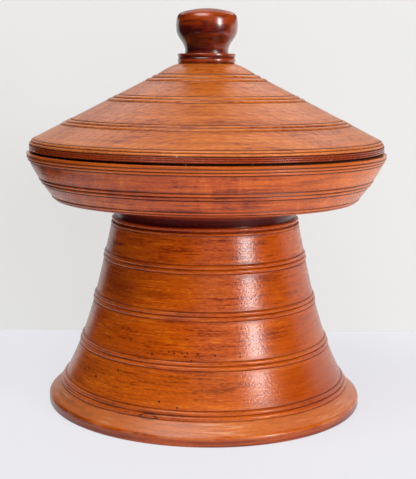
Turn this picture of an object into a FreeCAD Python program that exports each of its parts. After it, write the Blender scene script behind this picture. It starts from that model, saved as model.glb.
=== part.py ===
"""Turned-wood offering box: a covered dish on a flared foot.

Every piece is lathe work about the Z axis, in millimetres, with +Z up and the origin at the centre of
the base. An outline is a list of (radius, height) points that runs outwards along the bottom, up the
outside, inwards over the top and down the inside, so that a positive swell stands out of the wood.
"""

import FreeCAD
import Part
import math
import os
from FreeCAD import Vector

# Foot: a hollow flared drum with a solid deck at its top
foot_height = 154.0
foot_base_diameter = 266.4
foot_top_diameter = 158.0
base_band_height = 7.0
base_edge_round = 1.2
foot_band_height = 7.6
foot_band_height_shares = (0.130, 0.354, 0.590, 0.820)
foot_taper_share = 0.614
foot_sweep_power = 3.6
foot_lip_height = 2.4
foot_ring_width = 21.0
foot_wall = 17.0
deck_thickness = 24.0

# Bowl: a shallow dish on a neck, with a tenon that goes down through the deck
rim_diameter = 300.0
bowl_bottom_diameter = 253.0
bowl_side_height = 39.2
bowl_side_swell = 1.8
bowl_floor = 12.7
bowl_wall = 12.0
mouth_depth = 8.5
floor_cove = 5.0
floor_cove_depth = 1.2
rim_edge_round = 1.4
neck_height = 19.3
neck_inset = 3.6
neck_bead_height = 7.4
neck_bead_swell = 3.6
quirk_depth = 3.0
quirk_height = 1.2
bowl_tenon_diameter = 48.0
bottom_bead_shares = (0.040, 0.114)
waist_bead_shares = (0.362, 0.526)
rim_bead_shares = (0.860, 0.979)

# Lid: a hollow cone with a flange that drops into the bowl's mouth
lid_overhang = 2.6
lid_reveal = 1.6
lid_seat_width = 6.0
lid_rim_height = 4.9
lid_rim_swell = 0.3
lid_shoulder_height = 4.5
lid_shoulder_width = 3.1
lid_slope = 27.1
lid_thickness = 13.5
lid_crown_diameter = 48.6
lid_band_radius_shares = (0.793, 0.532, 0.313)
lid_band_lengths = (9.5, 10.9, 13.2)
lid_band_swell = 0.5
flange_height = 7.0
flange_thickness = 8.2
flange_clearance = 0.8
flange_lead = 1.0

# Knob: a bulb on a waist and a collar, with a tenon that goes down through the lid
collar_diameter = 48.2
collar_bead_height = 5.5
collar_bead_swell = 1.0
collar_groove_depth = 1.0
collar_disc_height = 2.9
collar_disc_slope = 0.6
waist_diameter = 36.0
waist_height = 2.5
bulb_diameter = 51.0
bulb_height = 34.3
knob_tenon_diameter = 20.0
# Cove, belly, shoulder, top edge and dome: radius, height and swell as shares of the bulb's own sizes
bulb_outline_shares = (
    (0.830, 0.214, -0.025),
    (1.000, 0.584, 0.055),
    (0.905, 0.850, 0.034),
    (0.720, 0.915, 0.020),
    (0.000, 1.000, 0.045),
)

# Joints between pieces of one body
glue_gap = 0.1
wedge_thickness = 5.0
wedge_tip_thickness = 1.0
wedge_depth_share = 0.8
wedge_width_share = 0.9

# Turned detail
band_bead_count = 2
lid_rim_bead_count = 3
bead_swell = 1.0
fine_bead_swell = 0.6
bead_facets = 3
fine_bead_facets = 2
round_facets = 3
full_turn = 360.0

# Radii and heights that more than one piece follows
foot_base_radius = foot_base_diameter / 2
foot_top_radius = foot_top_diameter / 2
bowl_tenon_radius = bowl_tenon_diameter / 2
deck_underside = foot_height - deck_thickness
bowl_underside = foot_height + neck_height
rim_height = bowl_underside + bowl_side_height
mouth_radius = rim_diameter / 2 - bowl_wall
lid_rise = math.tan(math.radians(lid_slope))
lid_radius = rim_diameter / 2 - lid_overhang
lid_edge_radius = lid_radius - lid_shoulder_width
lid_edge_height = rim_height + lid_reveal + lid_rim_height + lid_shoulder_height
crown_radius = lid_crown_diameter / 2
crown_height = lid_edge_height + (lid_edge_radius - crown_radius) * lid_rise
ceiling_height = crown_height - lid_thickness / math.cos(math.radians(lid_slope))
knob_tenon_radius = knob_tenon_diameter / 2


def between(start, end, share):
    """The point that lies the given share of the way from start to end."""
    return tuple(a + (b - a) * share for a, b in zip(start, end))


def rounded(start, end, swell, facets):
    """Points after start, up to end, on an arc that stands out from the straight line by swell."""
    line = Vector(end[0] - start[0], 0, end[1] - start[1])
    length = line.Length
    along = line / length
    outwards = Vector(along.z, 0, -along.x)
    half_angle = 2 * math.atan(2 * swell / length)
    arc_radius = length / 2 / math.sin(half_angle)
    centre = Vector(start[0], 0, start[1]) + line / 2 - outwards * (arc_radius - swell)
    points = []
    for step in range(1, facets + 1):
        angle = half_angle * (2 * step / facets - 1)
        spot = centre + (outwards * math.cos(angle) + along * math.sin(angle)) * arc_radius
        points.append((spot.x, spot.z))
    return points


def beads(start, end, count, swell, facets):
    """A band of touching beads: the groove at start, then the points of each bead up to end."""
    points = [start]
    for bead in range(count):
        points += rounded(points[-1], between(start, end, (bead + 1) / count), swell, facets)
    return points


def turned(outline):
    """The solid that a closed outline makes when it goes once round the axis."""
    corners = [Vector(radius, 0, height) for radius, height in outline]
    face = Part.Face(Part.makePolygon(corners + corners[:1]))
    return face.revolve(Vector(0, 0, 0), Vector(0, 0, 1), full_turn)


def wedge(tenon_radius, tenon_end, tenon_length):
    """A wedge across a tenon, thick at the tenon's lower end and thin towards its shoulder."""
    tip = tenon_end + tenon_length * wedge_depth_share
    half_width = tenon_radius * wedge_width_share
    corners = [
        Vector(-wedge_thickness / 2, -half_width, tenon_end),
        Vector(wedge_thickness / 2, -half_width, tenon_end),
        Vector(wedge_tip_thickness / 2, -half_width, tip),
        Vector(-wedge_tip_thickness / 2, -half_width, tip),
    ]
    face = Part.Face(Part.makePolygon(corners + corners[:1]))
    return face.extrude(Vector(0, 2 * half_width, 0))


def foot_point(height):
    """Outside of the foot at a height: an even taper at the top that sweeps out towards the base."""
    drop = 1 - height / foot_height
    spread = foot_taper_share * drop + (1 - foot_taper_share) * drop**foot_sweep_power
    return (foot_top_radius + (foot_base_radius - foot_top_radius) * spread, height)


def make_foot():
    outline = [
        (foot_base_radius - foot_ring_width, 0),
        (foot_base_radius - base_edge_round, 0),
        (foot_base_radius, base_edge_round),
        (foot_base_radius, base_band_height - base_edge_round),
        (foot_base_radius - base_edge_round, base_band_height),
    ]
    for share in foot_band_height_shares:
        low = foot_height * share - foot_band_height / 2
        high = foot_height * share + foot_band_height / 2
        outline += beads(foot_point(low), foot_point(high), band_bead_count, bead_swell, bead_facets)
    lip = foot_point(foot_height - foot_lip_height)
    outline += beads(lip, foot_point(foot_height), 1, fine_bead_swell, fine_bead_facets)
    outline += [
        (bowl_tenon_radius + glue_gap, foot_height),
        (bowl_tenon_radius + glue_gap, deck_underside),
        (foot_top_radius - foot_wall, deck_underside),
    ]
    return turned(outline)


def bowl_side_point(bottom, rim, share):
    """Outside of the bowl: the line from its bottom to its rim, swelled most at the middle."""
    line = Vector(rim[0] - bottom[0], 0, rim[1] - bottom[1]).normalize()
    radius, height = between(bottom, rim, share)
    swell = bowl_side_swell * 4 * share * (1 - share)
    return (radius + line.z * swell, height - line.x * swell)


def make_bowl():
    quirk_radius = foot_top_radius - quirk_depth
    neck_radius = foot_top_radius - neck_inset
    bead_low = (quirk_radius, foot_height + quirk_height)
    bead_high = (neck_radius, bead_low[1] + neck_bead_height)
    outline = [
        (0, deck_underside),
        (bowl_tenon_radius, deck_underside),
        (bowl_tenon_radius, foot_height),
        (quirk_radius, foot_height),
    ]
    outline += beads(bead_low, bead_high, 1, neck_bead_swell, round_facets)
    bottom = (bowl_bottom_diameter / 2, bowl_underside)
    rim = (rim_diameter / 2, rim_height - rim_edge_round)
    outline += [(neck_radius, bowl_underside), bottom]
    bands = (
        (bottom_bead_shares, 1),
        (waist_bead_shares, band_bead_count),
        (rim_bead_shares, band_bead_count),
    )
    for shares, count in bands:
        low, high = (bowl_side_point(bottom, rim, share) for share in shares)
        outline += beads(low, high, count, fine_bead_swell, fine_bead_facets)
    floor_height = bowl_underside + bowl_floor
    wall_foot = mouth_radius - (rim_height - mouth_depth - floor_height)
    cove_top = (wall_foot + floor_cove, floor_height + floor_cove)
    outline += [
        rim,
        (rim[0] - rim_edge_round, rim_height),
        (mouth_radius, rim_height),
        (mouth_radius, rim_height - mouth_depth),
        cove_top,
    ]
    outline += rounded(cove_top, (wall_foot - floor_cove, floor_height), -floor_cove_depth, round_facets)
    outline += [(0, floor_height)]
    return turned(outline)


def make_lid():
    rim_bottom = (lid_radius, rim_height + lid_reveal)
    rim_top = (lid_radius, rim_bottom[1] + lid_rim_height)
    edge = (lid_edge_radius, lid_edge_height)
    crown = (crown_radius, crown_height)
    flange_radius = mouth_radius - flange_clearance
    flange_inside = flange_radius - flange_thickness
    flange_bottom = rim_height - flange_height
    outline = [
        (flange_inside, flange_bottom),
        (flange_radius - flange_lead, flange_bottom),
        (flange_radius, flange_bottom + flange_lead),
        (flange_radius, rim_height),
        (mouth_radius + lid_seat_width, rim_height),
        (mouth_radius + lid_seat_width, rim_bottom[1]),
    ]
    outline += beads(rim_bottom, rim_top, lid_rim_bead_count, lid_rim_swell, fine_bead_facets)
    outline += beads(rim_top, edge, band_bead_count, fine_bead_swell, fine_bead_facets)[1:]
    slope_length = math.dist(edge, crown)
    for radius_share, length in zip(lid_band_radius_shares, lid_band_lengths):
        middle = (lid_edge_radius - lid_radius * radius_share) / (lid_edge_radius - crown_radius)
        reach = length / 2 / slope_length
        low = between(edge, crown, middle - reach)
        high = between(edge, crown, middle + reach)
        outline += beads(low, high, band_bead_count, lid_band_swell, bead_facets)
    inside_height = ceiling_height - (flange_inside - crown_radius) * lid_rise
    outline += [
        crown,
        (knob_tenon_radius + glue_gap, crown_height),
        (knob_tenon_radius + glue_gap, ceiling_height),
        (crown_radius, ceiling_height),
        (flange_inside, inside_height),
    ]
    return turned(outline)


def make_knob():
    collar_radius = collar_diameter / 2
    groove_radius = collar_radius - collar_groove_depth
    groove_height = crown_height + collar_bead_height
    disc_top = groove_height + collar_disc_height
    waist = (waist_diameter / 2, disc_top + waist_height)
    outline = [
        (0, ceiling_height),
        (knob_tenon_radius, ceiling_height),
        (knob_tenon_radius, crown_height),
    ]
    collar_low = (groove_radius, crown_height)
    outline += beads(collar_low, (groove_radius, groove_height), 1, collar_bead_swell, round_facets)
    outline += [
        (collar_radius, groove_height + collar_disc_slope),
        (collar_radius, disc_top - collar_disc_slope),
        (waist[0], disc_top),
        waist,
    ]
    for radius_share, height_share, swell_share in bulb_outline_shares:
        spot = (bulb_diameter / 2 * radius_share, waist[1] + bulb_height * height_share)
        outline += rounded(outline[-1], spot, bulb_diameter / 2 * swell_share, round_facets)
    return turned(outline)


os.makedirs("parts", exist_ok=True)

bowl_wedge = wedge(bowl_tenon_radius, deck_underside, deck_thickness)
knob_wedge = wedge(knob_tenon_radius, ceiling_height, crown_height - ceiling_height)
pieces = {
    "foot": make_foot(),
    "bowl": make_bowl().cut(bowl_wedge),
    "bowl_wedge": bowl_wedge,
    "lid": make_lid(),
    "knob": make_knob().cut(knob_wedge),
    "knob_wedge": knob_wedge,
}
for name, shape in pieces.items():
    box = shape.BoundBox
    print(name, shape.isValid(), len(shape.Solids), "solid", len(shape.Faces), "faces", round(shape.Volume))
    print(f"  across {box.XLength:.1f}, from {box.ZMin:.1f} to {box.ZMax:.1f}")
    shape.exportStep(f"parts/{name}.step")
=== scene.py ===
# %% [markdown]
# # A turned wooden offering box
# This lesson dresses a covered dish on a flared foot. The real one is lathe work in reddish wood, stained
# and waxed: a foot, a bowl, a lid and a knob, each turned from one block. The CAD model gives every size
# and the bodies that move, so it is loaded first and nothing in it is moved.

# %% Load the frame
import math

import bpy
from mathutils import Matrix, Vector


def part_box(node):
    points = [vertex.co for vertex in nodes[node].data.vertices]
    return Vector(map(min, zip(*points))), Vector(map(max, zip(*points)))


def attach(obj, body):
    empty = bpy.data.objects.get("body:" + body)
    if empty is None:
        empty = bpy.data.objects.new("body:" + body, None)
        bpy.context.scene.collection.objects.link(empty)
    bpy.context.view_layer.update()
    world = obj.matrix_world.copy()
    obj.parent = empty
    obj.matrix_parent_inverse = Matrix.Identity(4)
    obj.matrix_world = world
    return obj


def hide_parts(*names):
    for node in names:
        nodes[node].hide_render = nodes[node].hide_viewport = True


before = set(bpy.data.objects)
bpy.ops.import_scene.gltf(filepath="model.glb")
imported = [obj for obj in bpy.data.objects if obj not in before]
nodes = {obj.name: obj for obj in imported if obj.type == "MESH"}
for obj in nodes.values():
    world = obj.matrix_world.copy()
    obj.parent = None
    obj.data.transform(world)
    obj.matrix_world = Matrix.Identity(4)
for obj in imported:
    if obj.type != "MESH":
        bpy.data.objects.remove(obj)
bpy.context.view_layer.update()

# %% [markdown]
# ## Drawing outlines
# A turner thinks in outlines: half of the shape, from the axis outwards. The CAD solids keep their beads
# to a few facets, so the four turnings are drawn again here with true rounds. Each outline is a list of
# (radius, height) points in metres. It runs outwards along the bottom, up the outside, inwards over the
# top and down the inside, so a positive swell always stands out of the wood.

# %% Points of an outline
bead_steps = 9


def between(start, end, share):
    """The point that lies the given share of the way from start to end."""
    return tuple(a + (b - a) * share for a, b in zip(start, end))


def straight(start, end, parts):
    """Points on a straight stretch, after start and before end."""
    return [between(start, end, step / parts) for step in range(1, parts)]


def rounded(start, end, swell, steps=bead_steps):
    """Points after start, up to end, on an arc that stands out from the straight line by swell."""
    line = Vector(end) - Vector(start)
    along = line.normalized()
    outwards = Vector((along.y, -along.x))
    half_angle = 2 * math.atan(2 * swell / line.length)
    arc_radius = line.length / 2 / math.sin(half_angle)
    centre = Vector(start) + line / 2 - outwards * (arc_radius - swell)
    angles = [half_angle * (2 * step / steps - 1) for step in range(1, steps + 1)]
    return [tuple(centre + (outwards * math.cos(a) + along * math.sin(a)) * arc_radius) for a in angles]


print("a half-round of", bead_steps, "steps:", rounded((0.10, 0.0), (0.10, 0.004), 0.001)[:2])

# %% [markdown]
# ## Beads
# Pairs of beads ring every piece. The turner cuts a small V first and rolls the wood over on both sides
# of it. The V, called a quirk, goes a little below the surface, and that is why it draws a dark line.
# Each row of beads notes where its quirks and its crowns are, so that the finish can later darken the
# one and lighten the other, as wear and as painted highlight.

# %% A row of beads
quirk_depth = 0.0005
quirk_share = 0.04
rings = {"quirk": [], "crown": []}


def bead_row(start, end, count, swell):
    """Touching beads from start to end, with a quirk before, between and after them."""
    line = Vector(end) - Vector(start)
    inwards = Vector((-line.y, line.x)).normalized() * quirk_depth
    shares = [quirk_share + (1 - 2 * quirk_share) * step / count for step in range(count + 1)]
    quirks = [tuple(Vector(start) + line * share + inwards) for share in shares]
    points = [start, quirks[0]]
    for low, high in zip(quirks, quirks[1:]):
        bead = rounded(low, high, swell + quirk_depth)
        rings["crown"].append(bead[bead_steps // 2])
        points += bead
    rings["quirk"] += quirks
    return points + [end]


def new_rings():
    """Forgets the rings of the piece before."""
    for places in rings.values():
        places.clear()


print("quirks go", quirk_depth * 1000, "mm deep")

# %% [markdown]
# ## Turning
# The Screw modifier could turn an outline too, but the Spin tool is what a modeller uses by hand: draw the
# outline with extruded vertices, ease its corners with a vertex bevel, and spin it once round the Z axis.
# Afterwards the seam and the poles are merged, and only then are the normals turned outwards.

# %% Turn an outline
touch = 1e-6
turn_steps = 240
ease_segments = 5
smooth_below = math.radians(30)


def pick(piece, corners):
    """Selects the outline's vertices that lie at the given corners, and stays in edit mode."""
    bpy.ops.mesh.select_all(action="DESELECT")
    bpy.ops.object.mode_set(mode="OBJECT")
    places = [Vector((radius, 0, height)) for radius, height in corners]
    for vertex in piece.data.vertices:
        vertex.select = any((vertex.co - place).length < 10 * touch for place in places)
    bpy.ops.object.mode_set(mode="EDIT")


def turn(name, outline, eased):
    """A turning from a closed outline. Eased holds (radius of the round, list of corners)."""
    bpy.ops.object.select_all(action="DESELECT")
    bpy.ops.mesh.primitive_plane_add(size=touch, location=(0, 0, 0))
    piece = bpy.context.object
    piece.name = piece.data.name = name
    bpy.ops.object.mode_set(mode="EDIT")
    bpy.ops.mesh.merge(type="CENTER")
    bpy.ops.transform.translate(value=(outline[0][0], 0, outline[0][1]))
    for here, there in zip(outline, outline[1:] + outline[:1]):
        step = (there[0] - here[0], 0, there[1] - here[1])
        bpy.ops.mesh.extrude_vertices_move(TRANSFORM_OT_translate={"value": step})
    bpy.ops.mesh.select_all(action="SELECT")
    bpy.ops.mesh.remove_doubles(threshold=touch)
    for size, corners in eased:
        pick(piece, corners)
        bpy.ops.mesh.bevel(offset=size, segments=ease_segments, affect="VERTICES")
    bpy.ops.mesh.select_all(action="SELECT")
    bpy.ops.mesh.spin(steps=turn_steps, angle=2 * math.pi, center=(0, 0, 0), axis=(0, 0, 1))
    bpy.ops.mesh.select_all(action="SELECT")
    bpy.ops.mesh.remove_doubles(threshold=touch)
    bpy.ops.mesh.normals_make_consistent(inside=False)
    bpy.ops.object.mode_set(mode="OBJECT")
    bpy.ops.object.shade_smooth_by_angle(angle=smooth_below)
    print(name, len(piece.data.vertices), "vertices,", len(piece.data.polygons), "faces")
    return piece


# %% [markdown]
# ## Wear follows the form
# Wax and dirt gather in the quirks, hands polish the crowns, and the inside never got the outside's polish.
# The crowns are also lightened as painted highlight.
# All three are written into the mesh as attributes. Painting weights by hand would give the same, but
# a formula follows every bead exactly.

# %% Note the quirks, the crowns and the inside of a piece
ring_reach = {"quirk": 0.0015, "crown": 0.0011}
skin = 0.006


def note_form(piece, outside):
    """Writes the attributes. Outside gives the outer radius of the piece at a height."""
    spots = [(round(math.hypot(v.co.x, v.co.y), 5), round(v.co.z, 5)) for v in piece.data.vertices]
    for name in ("quirk", "crown", "inside"):
        known = {}
        for spot in set(spots):
            if name == "inside":
                known[spot] = float(spot[0] < outside(spot[1]) - skin)
            else:
                gap = min(math.dist(spot, place) for place in rings[name])
                known[spot] = max(0.0, 1 - gap / ring_reach[name])
        layer = piece.data.attributes.new(name, "FLOAT", "POINT")
        layer.data.foreach_set("value", [known[spot] for spot in spots])
    print(piece.name, "has", len(rings["quirk"]), "quirks and", len(rings["crown"]), "crowns")


def stand(piece, body, node):
    """Puts a turning in the place of its CAD node."""
    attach(piece, body)
    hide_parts(node)


# %% [markdown]
# ## The foot
# The foot is a hollow drum that sweeps out to a plain base band. Its side is a formula: an even taper
# at the top and a growing sweep towards the base. Four rows of twin beads ring it. The underside is
# open, with a thick deck at the top that takes the bowl's tenon.

# %% Draw the foot's side
foot_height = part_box("foot")[1].z
base_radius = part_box("foot")[1].x
foot_top_radius = 0.079
taper_share = 0.614
sweep_power = 3.6


def flare(height):
    """Outside of the foot at a height."""
    drop = max(0.0, 1 - height / foot_height)
    spread = taper_share * drop + (1 - taper_share) * drop**sweep_power
    return (foot_top_radius + (base_radius - foot_top_radius) * spread, height)


def panel(low, high, parts):
    """The plain side of the foot between two heights."""
    return [flare(low + (high - low) * step / parts) for step in range(1, parts)]


print("the foot is", round(flare(foot_height / 2)[0] * 2000, 1), "mm wide at half its height")

# %% Turn the foot
base_band_height = 0.007
base_edge_round = 0.0012
ring_width = 0.021
foot_wall = 0.017
deck_thickness = 0.024
tenon_radius = 0.024
glue_gap = 0.0001
band_height = 0.0076
band_height_shares = (0.130, 0.354, 0.590, 0.820)
bead_swell = 0.0010
fine_swell = 0.0006
lip_height = 0.0024
panel_parts = 8
deck_parts = 4
hollow_parts = 12
deck_underside = foot_height - deck_thickness
lip_low = foot_height - lip_height

new_rings()
ring_inside = (base_radius - ring_width, 0.0)
base_corner = (base_radius, 0.0)
band_corner = (base_radius, base_band_height)
foot_outline = [ring_inside, base_corner, band_corner]
band_middles = [foot_height * share for share in band_height_shares]
band_edges = [(middle - band_height / 2, middle + band_height / 2) for middle in band_middles]
foot_outline += straight(band_corner, flare(band_edges[0][0]), panel_parts)
next_lows = [low for low, high in band_edges[1:]] + [lip_low]
for (low, high), next_low in zip(band_edges, next_lows):
    foot_outline += bead_row(flare(low), flare(high), 2, bead_swell)
    foot_outline += panel(high, next_low, panel_parts)
foot_outline += bead_row(flare(lip_low), flare(foot_height), 1, fine_swell)
hole_edge = (tenon_radius + glue_gap, foot_height)
foot_outline += straight(flare(foot_height), hole_edge, deck_parts)
foot_outline += [
    hole_edge,
    (tenon_radius + glue_gap, deck_underside),
    (foot_top_radius - foot_wall, deck_underside),
]
foot_outline += straight(foot_outline[-1], ring_inside, hollow_parts)
foot_eased = [(base_edge_round, [base_corner, band_corner]), (base_edge_round / 2, [ring_inside])]
foot = turn("turned_foot", foot_outline, foot_eased)
note_form(foot, lambda height: flare(height)[0])
stand(foot, "base", "foot")

# %% [markdown]
# ## The bowl
# The bowl is a shallow dish. Its side leans outwards and swells a little, with a single bead at the bottom,
# twin beads at the waist and twin beads under the rim. It stands on a short neck with a thin bead where it
# meets the foot, and a tenon goes down through the foot's deck.

# %% Draw the bowl's side
rim_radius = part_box("bowl")[1].x
rim_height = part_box("bowl")[1].z
neck_height = 0.0193
bowl_underside = foot_height + neck_height
bowl_bottom = (0.1265, bowl_underside)
rim_edge_round = 0.0014
side_end = (rim_radius, rim_height - rim_edge_round)
bowl_side_swell = 0.0018


def bowl_side(share):
    """The side of the bowl, which swells a little between its bottom and its rim."""
    lean = (Vector(side_end) - Vector(bowl_bottom)).normalized()
    swell = Vector((lean.y, -lean.x)) * bowl_side_swell * 4 * share * (1 - share)
    return tuple(Vector(between(bowl_bottom, side_end, share)) + swell)


side_reach, side_rise = side_end[0] - bowl_bottom[0], side_end[1] - bowl_bottom[1]
print("the bowl's side leans", round(math.degrees(math.atan2(side_reach, side_rise))), "degrees")

# %% Turn the bowl
bowl_floor = 0.0127
bowl_wall = 0.012
mouth_depth = 0.0085
floor_cove = 0.005
floor_cove_depth = 0.0012
joint_quirk_depth = 0.0011
joint_quirk_height = 0.0010
neck_inset = 0.0036
neck_bead_height = 0.0029
neck_bead_swell = 0.0013
neck_bead_steps = 14
underside_parts = 5
cove_steps = 8
floor_parts = 4
bowl_bead_rows = ((0.040, 0.114, 1), (0.362, 0.526, 2), (0.860, 0.979, 2))
mouth_radius = rim_radius - bowl_wall
joint_radius = foot_top_radius - joint_quirk_depth
neck_radius = foot_top_radius - neck_inset

new_rings()
bead_low = (joint_radius, foot_height + joint_quirk_height)
bead_high = (joint_radius, bead_low[1] + neck_bead_height)
bowl_outline = [(0.0, deck_underside), (tenon_radius, deck_underside), (tenon_radius, foot_height)]
bowl_outline += [(joint_radius, foot_height), bead_low]
bowl_outline += rounded(bead_low, bead_high, neck_bead_swell, neck_bead_steps)
neck_top = (neck_radius, bowl_underside)
bowl_outline += [(neck_radius, bead_high[1]), neck_top]
bowl_outline += straight(neck_top, bowl_bottom, underside_parts) + [bowl_bottom]
reached = 0.0
for low, high, count in bowl_bead_rows:
    steps = [step / panel_parts for step in range(1, panel_parts)]
    bowl_outline += [bowl_side(reached + (low - reached) * step) for step in steps]
    bowl_outline += bead_row(bowl_side(low), bowl_side(high), count, fine_swell)
    reached = high
floor_height = bowl_underside + bowl_floor
wall_foot = mouth_radius - (rim_height - mouth_depth - floor_height)
cove_top = (wall_foot + floor_cove, floor_height + floor_cove)
cove_end = (wall_foot - floor_cove, floor_height)
bowl_rim = (rim_radius, rim_height)
mouth_edge = (mouth_radius, rim_height)
bowl_outline += [bowl_rim, mouth_edge, (mouth_radius, rim_height - mouth_depth), cove_top]
bowl_outline += rounded(cove_top, cove_end, -floor_cove_depth, cove_steps)
bowl_outline += straight(cove_end, (0.0, floor_height), floor_parts) + [(0.0, floor_height)]
bowl = turn("turned_bowl", bowl_outline, [(rim_edge_round / 2, [bowl_rim, mouth_edge, bowl_bottom])])

# %% [markdown]
# The tenon is split by a wedge that keeps it tight in the deck. Its kerf is cut with a Boolean, which is
# the quickest way to take one shape out of another. The same is done for the knob later.

# %% Cut the kerf for a wedge
def cut_kerf(piece, wedge_node):
    """Takes the place of a wedge out of the tenon that it spreads."""
    low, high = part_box(wedge_node)
    size = high - low
    bpy.ops.object.select_all(action="DESELECT")
    bpy.ops.mesh.primitive_cube_add(size=1, location=(low + high) / 2, scale=size)
    cutter = bpy.context.object
    bpy.ops.object.transform_apply(location=True, rotation=True, scale=True)
    tip_share = min(abs(v.co.x) for v in nodes[wedge_node].data.vertices) / high.x
    bpy.ops.object.mode_set(mode="EDIT")
    bpy.ops.mesh.select_all(action="DESELECT")
    bpy.ops.object.mode_set(mode="OBJECT")
    for vertex in cutter.data.vertices:
        vertex.select = vertex.co.z > (low.z + high.z) / 2
    bpy.ops.object.mode_set(mode="EDIT")
    bpy.ops.transform.resize(value=(tip_share, 1, 1))
    bpy.ops.object.mode_set(mode="OBJECT")
    kerf = piece.modifiers.new("kerf", "BOOLEAN")
    kerf.object = cutter
    kerf.operation = "DIFFERENCE"
    kerf.solver = "EXACT"
    bpy.context.view_layer.objects.active = piece
    bpy.ops.object.modifier_apply(modifier=kerf.name)
    bpy.data.objects.remove(cutter)
    print(piece.name, "has a kerf", [round(x * 1000, 1) for x in size], "mm")


def bowl_outside(height):
    """Outer radius of the bowl at a height, or of its neck and tenon below it."""
    share = (height - bowl_bottom[1]) / (side_end[1] - bowl_bottom[1])
    return bowl_side(min(share, 1.0))[0] if share > 0 else neck_radius


cut_kerf(bowl, "bowl_wedge")
note_form(bowl, bowl_outside)
stand(bowl, "base", "bowl")

# %% [markdown]
# ## The lid
# The lid is a hollow cone. From the rim up it has three fine fillets, a beaded shoulder and three rows of
# twin beads on the slope. Next to the knob the slope swells a little. A flange under it drops into the
# bowl's mouth, and the lid rests on the bowl's rim with a narrow dark reveal between the two edges.

# %% Draw the lid's slope
lid_fillet_swell = 0.0003
lid_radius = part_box("lid")[1].x - lid_fillet_swell
crown = (0.0243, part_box("lid")[1].z)
lid_reveal = 0.0016
lid_rim_height = 0.0049
lid_shoulder_height = 0.0045
lid_shoulder_width = 0.0031
rim_bottom = (lid_radius, rim_height + lid_reveal)
rim_top = (lid_radius, rim_bottom[1] + lid_rim_height)
lid_edge = (lid_radius - lid_shoulder_width, rim_top[1] + lid_shoulder_height)
lid_rise = (crown[1] - lid_edge[1]) / (lid_edge[0] - crown[0])
print("the lid slopes", round(math.degrees(math.atan(lid_rise)), 1), "degrees")

# %% Turn the lid
lid_seat_width = 0.006
lid_wall = 0.0135
lid_thickness = lid_wall * math.sqrt(1 + lid_rise**2)
flange_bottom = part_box("lid")[0].z
flange_clearance = 0.0008
flange_thickness = 0.0082
flange_lead = 0.001
knob_tenon_radius = 0.010
lid_swell = 0.0005
crown_swell = 0.0006
crown_steps = 6
lid_bead_rows = ((0.793, 0.0095), (0.532, 0.0109), (0.313, 0.0132))
flange_radius = mouth_radius - flange_clearance
flange_inside = flange_radius - flange_thickness
flange_edge = (flange_radius, flange_bottom)
seat = (mouth_radius + lid_seat_width, rim_height)

new_rings()
lid_outline = [(flange_inside, flange_bottom), flange_edge, (flange_radius, rim_height), seat]
lid_outline += [(seat[0], rim_bottom[1])]
lid_outline += bead_row(rim_bottom, rim_top, 3, lid_fillet_swell)
new_rings()
lid_outline += bead_row(rim_top, lid_edge, 2, fine_swell)[1:]
slope_length = math.dist(lid_edge, crown)
for radius_share, length in lid_bead_rows:
    middle = (lid_edge[0] - lid_radius * radius_share) / (lid_edge[0] - crown[0])
    row_low = between(lid_edge, crown, middle - length / 2 / slope_length)
    row_high = between(lid_edge, crown, middle + length / 2 / slope_length)
    lid_outline += straight(lid_outline[-1], row_low, panel_parts)
    lid_outline += bead_row(row_low, row_high, 2, lid_swell)
lid_outline += rounded(lid_outline[-1], crown, crown_swell, crown_steps)[:-1]
ceiling = (crown[0], crown[1] - lid_thickness)
eaves = (flange_inside, ceiling[1] - (flange_inside - ceiling[0]) * lid_rise)
lid_outline += [
    crown,
    (knob_tenon_radius + glue_gap, crown[1]),
    (knob_tenon_radius + glue_gap, ceiling[1]),
    ceiling,
]
lid_outline += straight(ceiling, eaves, panel_parts) + [eaves]
lid = turn("turned_lid", lid_outline, [(flange_lead, [flange_edge])])


def lid_outside(height):
    """Outer radius of the lid at a height."""
    return min(lid_radius, lid_edge[0] - (height - lid_edge[1]) / lid_rise)


note_form(lid, lid_outside)
stand(lid, "cover", "lid")

# %% [markdown]
# ## The knob
# The knob is one spindle: a collar bead, a thin disc, a narrow waist and a bulb like an urn with a low dome.
# The bulb is one flowing line, so its points come from a smooth curve through a few listed places,
# given as shares of the bulb's own radius and height.

# %% Draw the bulb
bulb_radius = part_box("knob")[1].x
knob_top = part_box("knob")[1].z
curve_steps = 6
bulb_shares = (
    (0.702, 0.0), (0.715, 0.06), (0.778, 0.17), (0.900, 0.30), (0.976, 0.42), (1.0, 0.55), (0.997, 0.67),
    (0.975, 0.78), (0.915, 0.86), (0.80, 0.91), (0.62, 0.945), (0.32, 0.985), (0.0, 1.0),
)


def flowing(places, steps):
    """A smooth curve through the places, as points after the first one."""
    ends = [Vector(place) for place in places]
    ends = [ends[0] * 2 - ends[1]] + ends + [Vector((-ends[-2].x, ends[-2].y))]
    points = []
    for a, b, c, d in zip(ends, ends[1:], ends[2:], ends[3:]):
        for step in range(1, steps + 1):
            t = step / steps
            bend = (2 * a - 5 * b + 4 * c - d) * t * t + (3 * b - a - 3 * c + d) * t**3
            points.append(tuple((2 * b + (c - a) * t + bend) / 2))
    return points


print("the bulb has", len(flowing(bulb_shares, curve_steps)), "points")

# %% Turn the knob
collar_radius = 0.0241
collar_groove_depth = 0.001
collar_bead_height = 0.0055
collar_bead_swell = 0.001
collar_disc_height = 0.0029
collar_disc_ease = 0.0006
waist_radius = 0.0180
waist_height = 0.0025

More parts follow.
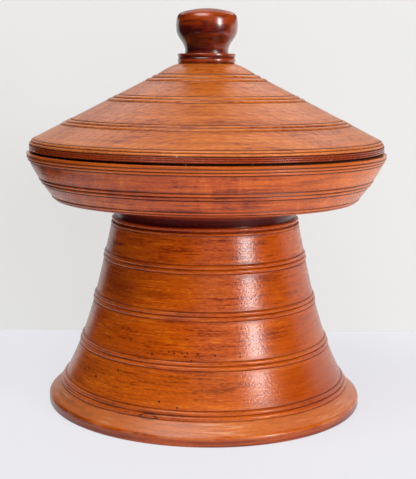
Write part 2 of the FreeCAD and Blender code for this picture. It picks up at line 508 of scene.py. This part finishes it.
new_rings()
groove_radius = collar_radius - collar_groove_depth
collar_low = (groove_radius, crown[1])
groove = (groove_radius, crown[1] + collar_bead_height)
disc_low = (collar_radius, groove[1] + collar_disc_ease / 2)
disc_top = (collar_radius, groove[1] + collar_disc_height)
waist_low = (waist_radius, disc_top[1])
waist_top = waist_low[1] + waist_height
bulb_places = [(bulb_radius * r, waist_top + (knob_top - waist_top) * z) for r, z in bulb_shares]
knob_outline = [(0.0, ceiling[1]), (knob_tenon_radius, ceiling[1]), (knob_tenon_radius, crown[1])]
knob_outline += [collar_low] + rounded(collar_low, groove, collar_bead_swell)
knob_outline += [disc_low, disc_top, waist_low, bulb_places[0]]
knob_outline += flowing(bulb_places, curve_steps)[:-1] + [(0.0, knob_top)]
rings["quirk"] += [collar_low, groove, waist_low]
rings["crown"] += [disc_top, (collar_radius, crown[1] + collar_bead_height / 2)]
knob = turn("turned_knob", knob_outline, [(collar_disc_ease, [disc_low, disc_top])])
cut_kerf(knob, "knob_wedge")
note_form(knob, lambda height: knob_tenon_radius if height < crown[1] else 0.0)
stand(knob, "cover", "knob")

# %% [markdown]
# ## Writing a finish
# A material is a sum of patterns: figure, long fibres, ticks, stain and wear. Node by node that would fill
# pages, so one small class wraps a socket. Sums of two wrapped sockets add Math nodes, and one method makes
# any other node.

# %% A pen for node maths
class Pen:
    """Wraps a socket of a material, so that patterns are added and multiplied like numbers."""

    def __init__(self, tree, socket=None):
        self.tree, self.socket = tree, socket

    def make(self, kind, settings, sockets, give=0):
        node = self.tree.nodes.new(kind)
        for name, value in settings.items():
            setattr(node, name, value)
        for name, value in sockets.items():
            if isinstance(value, Pen):
                self.tree.links.new(value.socket, node.inputs[name])
            else:
                node.inputs[name].default_value = value
        return Pen(self.tree, node.outputs[give])

    def sum(self, operation, first, second):
        return self.make("ShaderNodeMath", {"operation": operation}, {0: first, 1: second})

    def __add__(self, other):
        return self.sum("ADD", self, other)

    def __sub__(self, other):
        return self.sum("SUBTRACT", self, other)

    def __rsub__(self, other):
        return self.sum("SUBTRACT", other, self)

    def __mul__(self, other):
        return self.sum("MULTIPLY", self, other)

    def __or__(self, other):
        return self.sum("MAXIMUM", self, other)

    __radd__ = __add__
    __rmul__ = __mul__

    def part(self, axis):
        """One coordinate of a place."""
        return self.make("ShaderNodeSeparateXYZ", {}, {"Vector": self}, axis)

    def ease(self, low, high):
        """A soft step from 0 at low to 1 at high. With low above high it falls instead."""
        limits = {"Value": self, "From Min": low, "From Max": high}
        return self.make("ShaderNodeMapRange", {"interpolation_type": "SMOOTHSTEP"}, limits)

    def blend(self, without, full):
        """A colour between two, by this mask."""
        return self.make("ShaderNodeMix", {"data_type": "RGBA"}, {0: self, 6: without, 7: full}, 2)

    def noise(self, lumps, detail=3.0, warp=0.0):
        """Cloudy tone at this place, with so many lumps to the metre along X, Y and Z."""
        stretched = self.make("ShaderNodeMapping", {}, {"Vector": self, "Scale": lumps})
        values = {"Vector": stretched, "Scale": 1.0, "Detail": detail, "Distortion": warp}
        return self.make("ShaderNodeTexNoise", {}, values)

    def spot(self, centre, reach):
        """1 at a centre, fading to 0 at the given reach along X, Y and Z."""
        away = self.make("ShaderNodeVectorMath", {"operation": "SUBTRACT"}, {0: self, 1: centre})
        shares = self.make("ShaderNodeVectorMath", {"operation": "DIVIDE"}, {0: away, 1: reach})
        return self.make("ShaderNodeVectorMath", {"operation": "LENGTH"}, {0: shares}, "Value").ease(1.0, 0.0)


def linear(red, green, blue):
    """A colour given from 0 to 255, as the light that a shader works with."""
    parts = [value / 255 for value in (red, green, blue)]
    return tuple(p / 12.92 if p <= 0.04045 else ((p + 0.055) / 1.055) ** 2.4 for p in parts) + (1.0,)


print("stain", [round(x, 3) for x in linear(188, 88, 20)])

# %% [markdown]
# ## Wood
# All four turnings are of one kind of wood under one stain. On a real turning the growth rings are cut at
# every angle, yet on these gentle sides they read as long level streaks all round. So the patterns are
# solid ones that are stretched in plan and squeezed in height: no seam shows, and no piece needs a UV map.
# Each finish below starts and ends the same way, and only the middle is its own.

# %% Start and end a wood finish
relief_depth = 0.0002
relief_strength = 0.9
coat_roughness = 0.24
no_coat = 0.0
old_wax = linear(58, 14, 6)


def start_wood(name):
    """A new finish: the material, the place on the piece, and the noted form of the piece."""
    material = bpy.data.materials.new(name)
    material.use_nodes = True
    here = Pen(material.node_tree).make("ShaderNodeTexCoord", {}, {}, "Object")
    names = ("quirk", "crown", "inside")
    form = [here.make("ShaderNodeAttribute", {"attribute_name": name}, {}, "Fac") for name in names]
    return material, here, form


def stain(tone, deep, middle, pale):
    """Three depths of one stain, by a tone from 0 to 1."""
    return tone.ease(0.55, 0.95).blend(tone.ease(0.10, 0.55).blend(deep, middle), pale)


def end_wood(piece, material, colour, roughness, relief, coat):
    """Links the patterns to the shader, and puts the finish on a piece."""
    shader = material.node_tree.nodes["Principled BSDF"]
    values = {"Strength": relief_strength, "Distance": relief_depth, "Height": relief}
    bump = colour.make("ShaderNodeBump", {}, values)
    fields = {"Base Color": colour, "Roughness": roughness, "Normal": bump, "Coat Weight": coat}
    for field, value in fields.items():
        if isinstance(value, Pen):
            material.node_tree.links.new(value.socket, shader.inputs[field])
        else:
            shader.inputs[field].default_value = value
    shader.inputs["Coat Roughness"].default_value = coat_roughness
    wear(piece, material)


def wear(piece, material):
    """Gives a piece one finish."""
    piece.data.materials.clear()
    piece.data.materials.append(material)
    print(piece.name, "wears", material.name)


# %% [markdown]
# ## The foot's finish
# Warm orange-brown with long level streaks. The grain is calmer towards the right. Low on the left the stain
# is painted paler as painted light, low on the right darker as painted shade, and high on the left lies a dark
# patch of figure with painted shade. A few marks make it this
# very foot: a row of worm holes, some specks and smudges, and a patched knot on the lowest bead. Each mark is
# a soft spot on the side, given as a bearing from the front in degrees, a height, and how far it reaches.

# %% Place the marks on the foot
worm_holes = (
    (-24.9, 0.0613), (-17.2, 0.0641), (-14.8, 0.0634), (-11.2, 0.0636), (-8.9, 0.0638),
    (-4.3, 0.0638), (-9.8, 0.0612), (-7.0, 0.0588), (3.1, 0.0625), (14.1, 0.0611),
)
dark_specks = (
    (-40.3, 0.0453), (-11.5, 0.0252), (-52.0, 0.0363), (-18.7, 0.0282), (-35.5, 0.0072), (-3.0, 0.0069),
)
pale_specks = ((-56.7, 0.0080), (-36.8, 0.0125), (-17.2, 0.0069), (48.2, 0.0050))
smudges = ((-27.0, 0.1065), (-9.0, 0.1475), (30.0, 0.1180), (-14.0, 0.0900))
worm_hole_reach = (0.0011, 0.004, 0.0009)
dark_speck_reach = (0.0011, 0.004, 0.0011)
pale_speck_reach = (0.0013, 0.004, 0.0010)
smudge_reach = (0.022, 0.03, 0.0035)


def on_foot(bearing, height):
    """The place on the foot's side at a bearing to the right of the front."""
    radius, turn_angle = flare(height)[0], math.radians(bearing)
    return (radius * math.sin(turn_angle), -radius * math.cos(turn_angle), height)


def marks(here, places, reach):
    """A mask of soft spots at places on the foot."""
    mask = here.spot(on_foot(*places[0]), reach)
    for place in places[1:]:
        mask = mask | here.spot(on_foot(*place), reach)
    return mask


print(len(worm_holes) + len(dark_specks) + len(pale_specks), "small marks on the foot")

# %% Stain the foot
foot_stains = linear(122, 35, 2), linear(190, 79, 4), linear(216, 111, 16)
painted_light_orange = linear(226, 124, 40)
shaded_brown = linear(140, 44, 4)
tick_brown = linear(120, 36, 6)
foot_finish, here, (quirk, crown_wear_and_sheen, inside) = start_wood("foot_stain")
level = here.part("Z")
fibres = here.noise((32.0, 32.0, 540.0), 4.0, 0.5)
ticks = here.noise((120.0, 120.0, 1100.0), 2.0).ease(0.58, 0.72)
clouds = here.noise((9.0, 9.0, 60.0), 3.0, 1.0)
pores = here.noise((260.0, 260.0, 1000.0), 2.0)
ripple = here.noise((560.0, 560.0, 560.0), 2.0)
tone = clouds.ease(0.27, 0.73) * 0.36 + fibres.ease(0.33, 0.67) * 0.36 + pores.ease(0.30, 0.70) * 0.28
calm = here.part("X").ease(0.02, 0.08)
tone = tone + (0.60 - tone) * calm * 0.35
colour = stain(tone, *foot_stains)
# Painted light: low on the left the foot is painted paler.
low_painted_light = level.ease(0.075, 0.035) * level.ease(0.0060, 0.0090) * (1 - calm)
colour = (low_painted_light * 0.15).blend(colour, painted_light_orange)
# Painted shade: low on the right the foot is painted darker.
low_shade = level.ease(0.052, 0.042) * level.ease(0.016, 0.022) * calm
colour = (low_shade * 0.3).blend(colour, shaded_brown)
colour = (ticks * (1 - calm * 0.4) * 0.5).blend(colour, tick_brown)
print("the foot's stain takes", len(foot_finish.node_tree.nodes), "nodes")

# %% Mark the foot
smudge_brown = linear(112, 28, 6)
figure_and_shade_brown = linear(112, 28, 3)
bare_wood = linear(232, 190, 150)
smudged = marks(here, smudges, smudge_reach) * fibres.ease(0.35, 0.6)
colour = (smudged * 0.55).blend(colour, smudge_brown)
# A dark patch high on the left: dark figure together with painted shade.
figure_and_shade = here.spot(on_foot(-52.0, 0.1060), (0.030, 0.040, 0.020))
colour = (figure_and_shade * 0.6).blend(colour, figure_and_shade_brown)
bitten = marks(here, worm_holes, worm_hole_reach) | marks(here, dark_specks, dark_speck_reach)
colour = bitten.ease(0.0, 0.5).blend(colour, old_wax)
colour = (marks(here, pale_specks, pale_speck_reach) * 0.7).blend(colour, bare_wood)
knot = here.spot(on_foot(-21.9, 0.0176), (0.0105, 0.012, 0.0030))
colour = (knot.ease(0.0, 0.25) * knot.ease(0.62, 0.30) * 0.85).blend(colour, old_wax)
print("with its marks it takes", len(foot_finish.node_tree.nodes), "nodes")

# %% [markdown]
# Then comes the wear. The crowns are rubbed and lightened, partly as painted highlight, the quirks hold old
# wax, the sweep above the base is scuffed in pale arcs, and the base band is darker with a rubbed edge.

# %% Wear the foot
band_brown = linear(158, 66, 30)
band_streak_brown = linear(84, 28, 14)
rubbed_tan = linear(224, 146, 92)
sweep_tan = linear(222, 146, 92)
scuff_tan = linear(232, 172, 130)
band = level.ease(0.0074, 0.0062)
band_streaks = here.noise((14.0, 14.0, 420.0), 3.0).ease(0.46, 0.62)
rubbed_places = here.noise((40.0, 40.0, 40.0)).ease(0.35, 0.6)
rubbed_edge = level.ease(0.0052, 0.0064) * level.ease(0.0086, 0.0072)
sweep = level.ease(0.0076, 0.0092) * level.ease(0.0180, 0.0150)
scuffed_places = here.noise((16.0, 16.0, 16.0)).ease(0.45, 0.6)
scuffs = here.noise((30.0, 30.0, 800.0), 3.0, 0.6).ease(0.50, 0.66) * scuffed_places
# The crowns are lightened as wear and as painted highlight.
colour = (crown_wear_and_sheen * 0.15).blend(colour, linear(216, 120, 60))
colour = (band * 0.6).blend(colour, band_brown)
colour = (band * band_streaks * 0.6).blend(colour, band_streak_brown)
colour = (rubbed_edge * rubbed_places * 0.4).blend(colour, rubbed_tan)
colour = (sweep * 0.3).blend(colour, sweep_tan)
colour = (sweep * scuffs * 0.55).blend(colour, scuff_tan)
colour = (quirk.ease(0.32, 0.95) * 0.52).blend(colour, old_wax)
colour = (inside * 0.6).blend(colour, linear(134, 70, 34))
relief = fibres * 0.05 + ripple * 0.75 - bitten
roughness = 0.20 + ripple * 0.08 + quirk * 0.2 + sweep * 0.12 + inside * 0.4
end_wood(foot, foot_finish, colour, roughness, relief, no_coat)

# %% [markdown]
# ## The bowl's finish
# The same stain, a little redder, painted lighter towards the right as painted light and deeper towards the
# left as painted shade. A curl in the wood shows as upright ripples to the left and right of the front, and
# the band under the rim is rubbed bright.

# %% Stain the bowl
bowl_stains = linear(112, 26, 4), linear(190, 77, 11), linear(222, 110, 28)
streak_red = linear(124, 28, 8)
painted_light_orange = linear(224, 116, 32)
shaded_brown = linear(126, 34, 8)
bowl_finish, here, (quirk, crown_wear_and_sheen, inside) = start_wood("bowl_stain")
level = here.part("Z")
fibres = here.noise((22.0, 22.0, 620.0), 5.0, 0.5)
clouds = here.noise((10.0, 10.0, 50.0), 3.0, 0.8)
curled_places = here.noise((14.0, 14.0, 6.0)).ease(0.40, 0.58)
curl = here.noise((130.0, 60.0, 22.0), 2.0, 0.5).ease(0.35, 0.65) * curled_places
pores = here.noise((220.0, 220.0, 900.0), 2.0)
ripple = here.noise((420.0, 420.0, 700.0), 2.0)
tone = clouds.ease(0.32, 0.68) * 0.28 + fibres.ease(0.38, 0.62) * 0.36
tone = tone + pores.ease(0.30, 0.70) * 0.18 + curl * 0.26
colour = stain(tone, *bowl_stains)
streaks = here.noise((11.0, 11.0, 260.0), 3.0, 0.4).ease(0.54, 0.68)
colour = (streaks * 0.25).blend(colour, streak_red)
# Painted light: towards the right the bowl is painted paler.
right_painted_light = here.part("X").ease(0.0, 0.15)
# Painted shade: towards the left the bowl is painted darker.
shaded = here.part("X").ease(-0.03, -0.14)
colour = (right_painted_light * 0.65).blend(colour, painted_light_orange)
colour = (shaded * 0.25).blend(colour, shaded_brown)
rim_band = level.ease(0.2040, 0.2070)
colour = (rim_band * 0.6).blend(colour, linear(206, 96, 16))
# The crowns are lightened as wear and as painted highlight.
colour = (crown_wear_and_sheen * 0.3).blend(colour, linear(212, 118, 78))
colour = (quirk.ease(0.15, 0.75) * 0.8).blend(colour, old_wax)
print("the bowl's stain takes", len(bowl_finish.node_tree.nodes), "nodes")

# %% [markdown]
# The neck under the bowl is painted nearly black, as painted shade under the overhang together with old polish
# that no cloth reaches, and only its upper part is painted brown as painted light. The bead at its foot is
# rubbed and keeps the colour of the wood.

# %% Darken the bowl's neck
edge = 0.0003
neck_painted_shade_black = linear(84, 1, 0)
painted_light_brown = linear(204, 70, 3)
bead = level.ease(bead_low[1] - edge, bead_low[1] + edge)
bead = bead * level.ease(bead_high[1] + edge, bead_high[1] - edge)
# Painted shade: the neck under the bowl is painted nearly black, together with old polish.
neck = level.ease(bowl_underside + 0.0004, bowl_underside - 0.0006) * (1 - bead)
# Painted light: the upper part of the neck is painted brown.
neck_painted_light = level.ease(0.1618, 0.1674)
joint = level.ease(bead_low[1] + edge, bead_low[1] - edge)
colour = (bead * 0.5).blend(colour, linear(186, 72, 16))
colour = (neck * (0.97 - joint * 0.45)).blend(colour, neck_painted_shade_black)
colour = (neck * neck_painted_light * 0.8).blend(colour, painted_light_brown)
colour = (inside * (1 - neck) * 0.6).blend(colour, linear(140, 74, 36))
relief = fibres * 0.15 + ripple * 0.25
roughness = 0.22 + ripple * 0.10 + quirk * 0.2 + inside * 0.3 - neck * 0.04
end_wood(bowl, bowl_finish, colour, roughness, relief, no_coat)

# %% [markdown]
# ## The lid's finish
# The slope is tan-orange from years of wiping, with fibres straight across it and fine lines from the turning.

# %% Stain the lid
lid_stains = linear(140, 52, 8), linear(198, 100, 22), linear(222, 128, 52)
lid_finish, here, (quirk, crown_wear_and_sheen, inside) = start_wood("lid_stain")
level = here.part("Z")
fibres = here.noise((34.0, 520.0, 520.0), 5.0, 0.5)
clouds = here.noise((9.0, 40.0, 40.0), 3.0, 0.9)
turning_lines = here.noise((5.0, 5.0, 900.0), 3.0)
pores = here.noise((200.0, 480.0, 700.0), 2.0)
ripple = here.noise((420.0, 420.0, 420.0), 2.0)
tone = clouds.ease(0.30, 0.70) * 0.24 + fibres.ease(0.34, 0.66) * 0.32 + pores.ease(0.30, 0.70) * 0.26
tone = tone + turning_lines.ease(0.3, 0.7) * 0.25
colour = stain(tone, *lid_stains)
# The crowns are lightened as wear and as painted highlight.
colour = (crown_wear_and_sheen * 0.3).blend(colour, linear(226, 150, 104))
print("the lid's stain takes", len(lid_finish.node_tree.nodes), "nodes")

# %% [markdown]
# The rim is dark, glossy and chipped along its edges, where the finish shows pale wood. The reveal under it is
# painted black as painted shade, and too dull to gleam.

# %% Wear the lid's rim
rim_red = linear(142, 44, 8)
rim_streak_red = linear(104, 28, 8)
reveal_shade_black = linear(14, 4, 2)
chip_pale = linear(214, 190, 172)
rim_side = level.ease(rim_top[1] + 0.0006, rim_top[1] - 0.0004)
rim_streaks = here.noise((14.0, 14.0, 300.0), 3.0).ease(0.40, 0.62)
chipped_places = here.noise((30.0, 30.0, 30.0)).ease(0.45, 0.6)
chips = here.noise((260.0, 260.0, 420.0), 2.0).ease(0.66, 0.70) * chipped_places
colour = (rim_side * 0.88).blend(colour, rim_red)
colour = (rim_side * rim_streaks * 0.3).blend(colour, rim_streak_red)
colour = (quirk.ease(0.30, 0.90) * 0.8).blend(colour, old_wax)
# Painted shade: the reveal between lid and bowl is painted black.
reveal = level.ease(rim_bottom[1] + 0.0006, rim_bottom[1] + 0.0001)
reveal = reveal * level.ease(rim_height - 0.0006, rim_height)
colour = (reveal * 0.95).blend(colour, reveal_shade_black)
rim_edges = level.ease(rim_top[1] + 0.0030, rim_top[1] + 0.0005) * (1 - inside)
colour = (rim_edges * chips * 0.8).blend(colour, chip_pale)
colour = (inside * 0.6).blend(colour, linear(146, 80, 40))
relief = fibres * 0.2 + ripple * 0.5 - chips * rim_edges
roughness = 0.34 + ripple * 0.10 + quirk * 0.2 - rim_side * 0.12 + inside * 0.3 + reveal * 0.6
end_wood(lid, lid_finish, colour, roughness, relief, no_coat)

# %% [markdown]
# ## The knob's finish
# Handling has polished the knob to a deep red-brown gloss, so it gets a thin clear coat over the stain. The
# top of the bulb is painted more orange as painted light and is rubbed dull, the lower left is painted deeper
# as painted shade, the right side is painted paler as painted light, and the crowns of the collar are lighter
# from wear and painted highlight.

# %% Finish the knob
knob_stains = linear(70, 6, 2), linear(108, 24, 2), linear(146, 50, 6)
top_painted_light_orange = linear(176, 70, 8)
shaded_brown = linear(48, 2, 1)
side_painted_light_orange = linear(180, 72, 24)
knob_coat = 0.7
knob_finish, here, (quirk, crown_wear_and_sheen, inside) = start_wood("knob_stain")
level = here.part("Z")
fibres = here.noise((30.0, 30.0, 520.0), 4.0, 0.5)
clouds = here.noise((60.0, 60.0, 150.0), 3.0, 1.0)
ripple = here.noise((520.0, 520.0, 520.0), 2.0)
tone = clouds.ease(0.34, 0.66) * 0.60 + fibres.ease(0.32, 0.68) * 0.40
colour = stain(tone, *knob_stains)
# Painted light: the top of the bulb is painted more orange.
colour = (level.ease(0.312, 0.325) * (0.25 + tone * 0.6)).blend(colour, top_painted_light_orange)
# Painted shade: the lower left of the bulb is painted darker.
shaded = level.ease(0.322, 0.308) * level.ease(0.2930, 0.2950)
shaded = shaded * here.part("X").ease(0.012, -0.014)
colour = (shaded * 0.7).blend(colour, shaded_brown)
# Painted light: the right side of the knob is painted paler.
colour = (here.part("X").ease(0.008, 0.024) * 0.4).blend(colour, side_painted_light_orange)
# The collar's crowns are lightened as wear and as painted highlight.
colour = (crown_wear_and_sheen * 0.6).blend(colour, linear(196, 86, 28))
colour = (quirk.ease(0.32, 0.95) * 0.6).blend(colour, old_wax)
dulled = level.ease(0.3240, 0.3270)
relief = fibres * 0.08 + ripple * 0.10
roughness = 0.18 + ripple * 0.06 + quirk * 0.2 + inside * 0.3 + dulled * 0.35
end_wood(knob, knob_finish, colour, roughness, relief, knob_coat - dulled * knob_coat)

# %% [markdown]
# ## The wedges
# The two wedges keep their CAD shape. They are split from plain hardwood and never saw the stain, so
# they get straight fibres along their length and a dry surface.

# %% Finish the wedges
wedge_stains = linear(128, 88, 50), linear(164, 120, 74), linear(186, 144, 96)
wedge_finish, here, _ = start_wood("split_hardwood")
fibres = here.noise((700.0, 700.0, 40.0), 4.0, 0.4)
colour = stain(fibres.ease(0.25, 0.75), *wedge_stains)
roughness = 0.6 + fibres * 0.2
for name in ("bowl_wedge", "knob_wedge"):
    end_wood(nodes[name], wedge_finish, colour, roughness, fibres, no_coat)

# %% [markdown]
# ## Floor and backdrop
# A plain pale sheet lies under the box, and a low plain board stands close behind it. Both show a little of
# their own colour to the camera and to reflections, so they look pale without more light on the box. The
# board ends just left of the picture, and only the near part of the sheet is mirrored in the wood. Past
# them the room is dim, and that keeps the left side and the neck of the box deep and free of haze. The board
# shows only its front, so the box can also be seen from behind.

# %% Lay the sheet and the board
table_left, table_right, table_front, table_back = -0.38, 0.75, -0.42, 0.5
floor_width = 6.0
board_left, board_right, board_height, board_distance = -0.30, 2.7, 0.36, 0.225
table_drop = 0.0003
stage_lift = 0.75
stage_roughness = 0.9


def stage_finish(name, colour, lift):
    """A matt pale finish. Lift is the share of its own colour that eyes and reflections see."""
    material = bpy.data.materials.new(name)
    material.use_nodes = True
    pen = Pen(material.node_tree)
    shader = material.node_tree.nodes["Principled BSDF"]
    shader.inputs["Base Color"].default_value = colour
    shader.inputs["Roughness"].default_value = stage_roughness
    kinds = ("Camera", "Glossy", "Transmission")
    rays = [pen.make("ShaderNodeLightPath", {}, {}, f"Is {kind} Ray") for kind in kinds]
    seen = (rays[0] | rays[1] | rays[2]) * lift
    glow = pen.make("ShaderNodeEmission", {}, {"Color": colour, "Strength": 1.0})
    clear = pen.make("ShaderNodeBsdfTransparent", {}, {})
    behind = pen.make("ShaderNodeNewGeometry", {}, {}, "Backfacing")
    front = pen.make("ShaderNodeMixShader", {}, {0: seen, 1: Pen(pen.tree, shader.outputs[0]), 2: glow})
    shown = pen.make("ShaderNodeMixShader", {}, {0: behind, 1: front, 2: clear})
    pen.tree.links.new(shown.socket, pen.tree.nodes["Material Output"].inputs["Surface"])
    return material


def stage_plane(name, middle, width, depth, tilt, material, mirrored=True):
    """A plain sheet that belongs to the stage and not to the box."""
    bpy.ops.object.select_all(action="DESELECT")
    bpy.ops.mesh.primitive_plane_add(size=1, location=middle, rotation=(tilt, 0, 0))
    plane = bpy.context.object
    plane.name = name
    plane.scale = (width, depth, 1)
    plane.visible_glossy = mirrored
    wear(plane, material)


white_sheet = stage_finish("white_sheet", linear(240, 240, 245), stage_lift)
table_middle = ((table_left + table_right) / 2, (table_front + table_back) / 2, -table_drop)
stage_plane("table", table_middle, table_right - table_left, table_back - table_front, 0, white_sheet)
stage_plane("floor", (0, 0, -2 * table_drop), floor_width, floor_width, 0, white_sheet, mirrored=False)
pale_board = stage_finish("pale_board", linear(235, 235, 234), stage_lift)
board_middle = ((board_left + board_right) / 2, board_distance, board_height / 2)
stage_plane("board", board_middle, board_right - board_left, board_height, math.pi / 2, pale_board)

# %% [markdown]
# ## Light
# A tall soft light stands to the right in front and draws the upright gleam on the foot. A larger, weaker one
# just before it gives the gleam a soft edge and carries it down the sweep. A broad one overhead lifts the lid
# and the sweep of the foot, and another behind the board gives the lid's slopes their haze. A fill from the
# front only shades: it is hidden from reflections, as a large dull sheet of paper would be. Each is placed by
# its bearing, its elevation and its distance, and then has a width, a height and a power.

# %% Set the lights
middle_of_box = (0.0, 0.0, 0.16)


def around(azimuth, elevation, distance):
    """A place at a bearing to the right of the camera, as seen from the box."""
    a, e = math.radians(azimuth), math.radians(elevation)
    flat = distance * math.cos(e)
    return (flat * math.sin(a), -flat * math.cos(a), middle_of_box[2] + distance * math.sin(e))


def soft_light(name, place, width, height, power, gleams=True):
    """An oval area light that faces the box, and that the camera doesn't see."""
    lamp = bpy.data.lights.new(name, "AREA")
    lamp.shape = "ELLIPSE"
    lamp.size, lamp.size_y, lamp.energy = width, height, power
    holder = bpy.data.objects.new(name, lamp)
    holder.location = place
    holder.rotation_euler = (Vector(middle_of_box) - Vector(place)).to_track_quat("-Z", "Y").to_euler()
    holder.visible_glossy = gleams
    holder.visible_camera = False
    bpy.context.scene.collection.objects.link(holder)
    print(name, "light", power, "W")


soft_light("key", around(46.5, 14, 1.6), 0.28, 0.44, 7.6)
soft_light("key_edge", around(46.5, 19, 1.59), 0.62, 1.00, 3.8)
soft_light("overhead", around(-30, 62, 1.6), 1.1, 0.9, 13.6)
soft_light("back", around(176, 45, 1.2), 1.7, 0.6, 5.0)
soft_light("fill", around(10, 18, 2.0), 1.4, 1.0, 12.5, gleams=False)

# %% [markdown]
# The room itself is dim, so the light on the box comes from the lamps, but it shows pale to the camera.

# %% Dim the room
room_light = 0.025
room_seen = 0.85
room = bpy.data.worlds.new("room")
bpy.context.scene.world = room
room.use_nodes = True
backdrop = room.node_tree.nodes["Background"]
backdrop.inputs["Color"].default_value = linear(235, 235, 240)
seen = Pen(room.node_tree).make("ShaderNodeLightPath", {}, {}, "Is Camera Ray")
room.node_tree.links.new((seen * room_seen + room_light).socket, backdrop.inputs["Strength"])
print("room light", room_light)

# %% [markdown]
# ## Camera
# The camera stands a little under a metre away, just above the rim, and looks slightly down. It is turned
# a third of a degree about its own axis, as the hand-held one was. The photograph is a crop from the left of
# a wider picture, which a small lens shift repeats.

# %% Set the camera
picture_height = 479
shift_pixels = 37.4
focal_length = 77.96
look_down = 9.12
roll_angle = 0.31
lens = bpy.data.cameras.new("camera")
lens.lens = focal_length
lens.shift_x = shift_pixels / picture_height
camera = bpy.data.objects.new("camera", lens)
camera.location = (-0.0291, -0.8756, 0.2773)
tilt, roll = math.radians(90 - look_down), math.radians(roll_angle)
camera.rotation_euler = (Matrix.Rotation(tilt, 3, "X") @ Matrix.Rotation(roll, 3, "Z")).to_euler()
bpy.context.scene.collection.objects.link(camera)
bpy.context.scene.camera = camera
bpy.context.scene.view_settings.view_transform = "Standard"
print("camera at", [round(x, 3) for x in camera.location])
